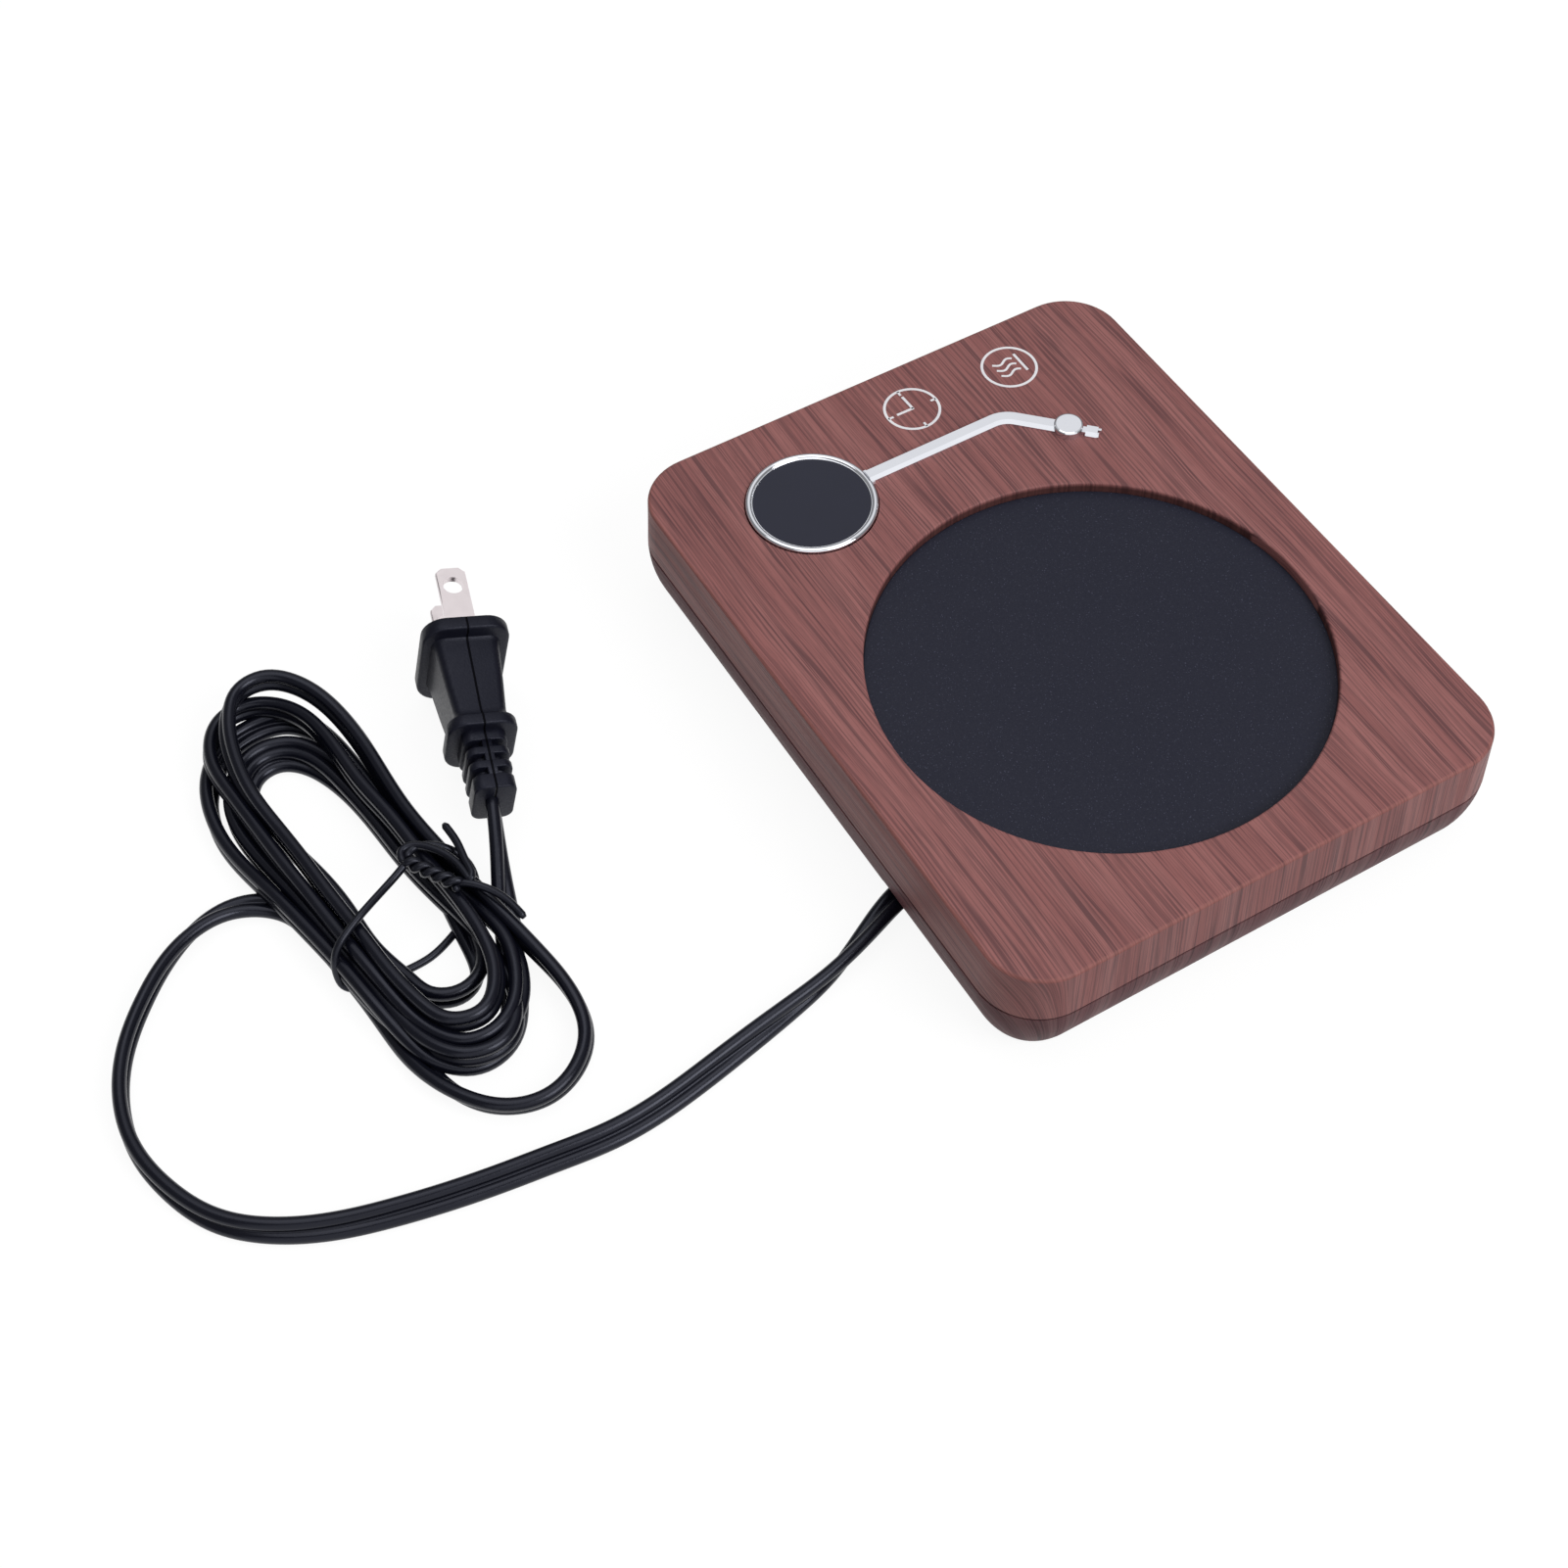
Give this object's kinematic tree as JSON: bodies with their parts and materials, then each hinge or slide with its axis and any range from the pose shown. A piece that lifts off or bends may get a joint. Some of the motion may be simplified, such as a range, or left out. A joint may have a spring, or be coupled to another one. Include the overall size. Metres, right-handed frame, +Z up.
{
  "type": "electric mug warmer",
  "caption": "Low rectangular mug warmer with a recessed round heating plate, a tonearm-shaped trim round its display, and a hanked flat mains cord with a two-blade plug.",
  "frame": {"origin": "centre of the housing's footprint, on the surface that the feet stand on", "axes": "+Z up; +X along the housing from the heating plate to the display; +Y to the back, where the cord leaves"},
  "size_m": [0.1639, 0.2771, 0.0315],
  "materials": {
    "wood_film": "satin wood-grain film",
    "base_plastic": "satin wood-grain film, greyer",
    "plate_coating": "matte black coating with fine pale speckle",
    "heater_film": "amber film",
    "fibre_felt": "matte felt",
    "bracket_steel": "zinc plated",
    "screw_steel": "zinc plated",
    "sensor_ceramic": "matte",
    "fuse_ceramic": "matte",
    "trim_chrome": "polished",
    "smoked_lens": "polished black",
    "circuit_board": "solder mask",
    "dark_plastic": "satin",
    "spring_brass": "drawn wire",
    "transformer_core": "satin",
    "relay_case": "gloss",
    "capacitor_can": "gloss sleeve",
    "film_capacitor_case": "gloss",
    "ivory_plastic": "satin",
    "silicone_sleeve": "matte",
    "blue_lead": "satin",
    "black_lead": "satin",
    "foot_rubber": "matte",
    "cord_pvc": "satin black",
    "tie_plastic": "gloss black",
    "plug_pvc": "satin black",
    "blade_nickel": "nickel plated"
  },
  "bodies": {
    "root": {"top_cover": "wood_film", "base_shell": "base_plastic", "heating_plate": "plate_coating", "heater_foil": "heater_film", "insulation_pad": "fibre_felt", "plate_bracket": "bracket_steel", "bracket_screws": "screw_steel", "temperature_sensor": "sensor_ceramic", "thermal_fuse": "fuse_ceramic", "fuse_clip": "bracket_steel", "tonearm_trim": "trim_chrome", "display_lens": "smoked_lens", "display_board": "circuit_board", "led_display": "dark_plastic", "touch_springs": "spring_brass", "display_screws": "screw_steel", "control_board": "circuit_board", "control_screws": "screw_steel", "transformer": "transformer_core", "relay": "relay_case", "filter_capacitor": "capacitor_can", "film_capacitor": "film_capacitor_case", "board_fuse": "dark_plastic", "lead_connectors": "ivory_plastic", "pin_header": "dark_plastic", "heater_leads": "silicone_sleeve", "sensor_leads": "blue_lead", "mains_leads": "black_lead", "cord_clamp": "dark_plastic", "clamp_screws": "screw_steel", "rubber_feet": "foot_rubber", "housing_screws": "screw_steel", "mains_cord": "cord_pvc", "cord_loop": "cord_pvc", "cord_tail": "cord_pvc", "cord_hank": "cord_pvc", "cord_tie": "tie_plastic", "plug_body": "plug_pvc", "plug_blades": "blade_nickel"}
  },
  "joints": []
}
